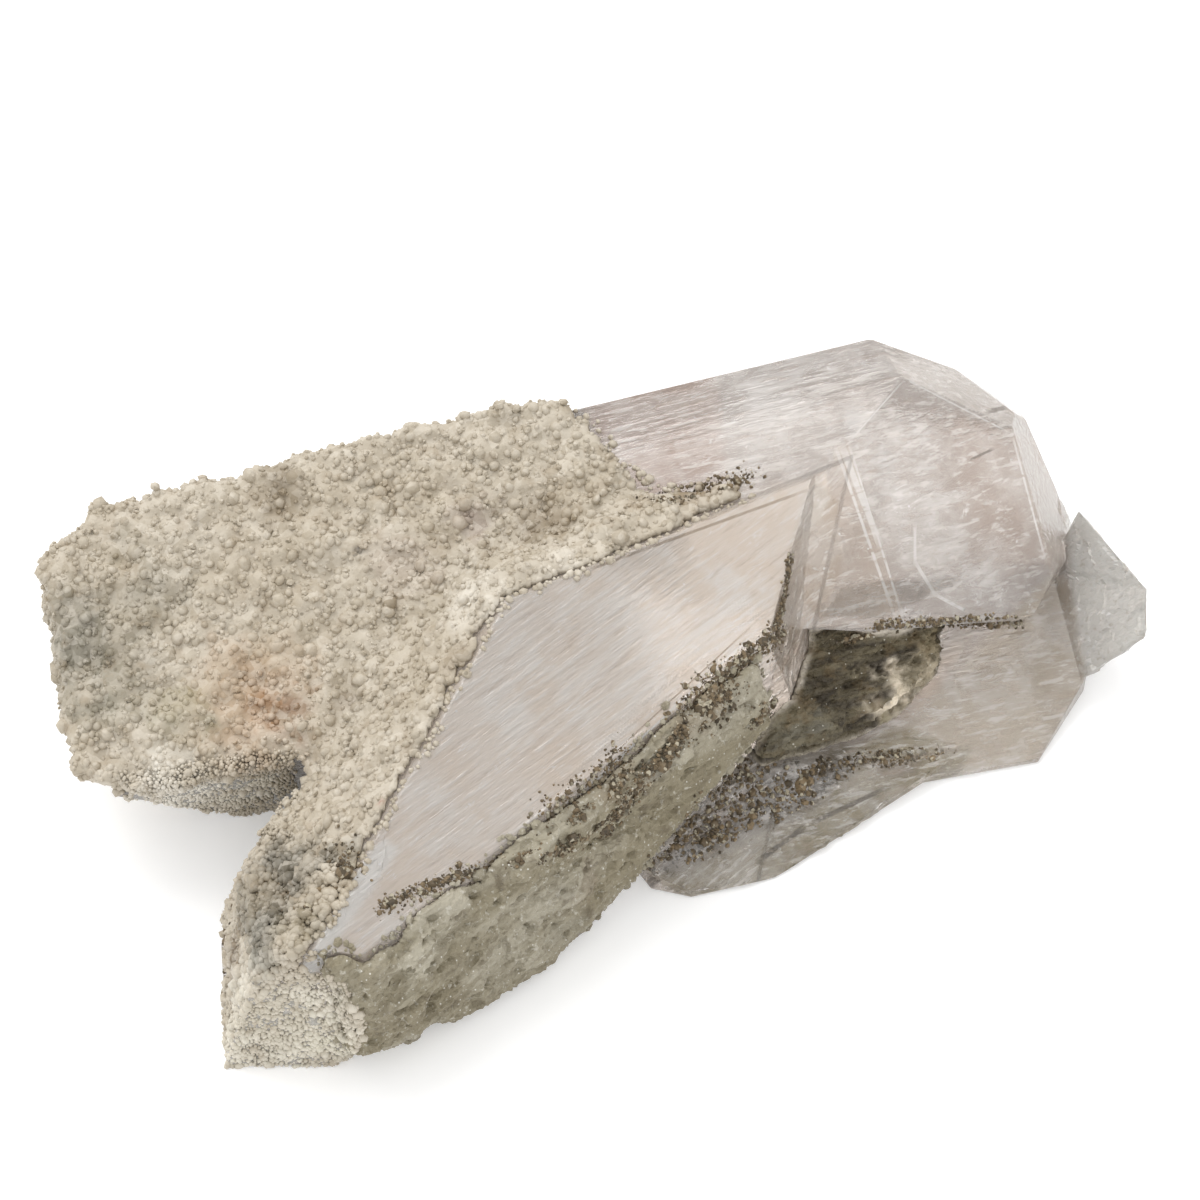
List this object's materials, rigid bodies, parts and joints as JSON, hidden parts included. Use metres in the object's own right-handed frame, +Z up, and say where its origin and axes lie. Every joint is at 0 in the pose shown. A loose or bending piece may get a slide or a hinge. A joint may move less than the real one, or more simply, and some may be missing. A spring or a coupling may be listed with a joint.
{
  "type": "danburite mineral specimen",
  "caption": "Pale pink intergrown danburite crystals, a long clear-ended prism and a slanting blade, under a sugary crust with grey rock left on them; lies on a flat base",
  "frame": {"origin": "the middle of the bounding box, on the surface that the specimen lies on", "axes": "+X along the specimen from its crusted left end to the clear end of the main crystal, +Y to the back, +Z up"},
  "size_m": [0.0928, 0.0645, 0.0247],
  "materials": {
    "danburite": "glassy crystal faces with fine striations, pale pink and slightly milky",
    "druse": "sugary cream crust with grey-green and rust stains",
    "grey_matrix": "rough sparkling grey-brown rock",
    "dark_matrix": "dark ridged rock with brown dirt"
  },
  "bodies": {
    "root": {"danburite_crystals": "danburite", "druse_crust": "druse", "matrix_front": "grey_matrix", "matrix_between": "dark_matrix"}
  },
  "joints": []
}
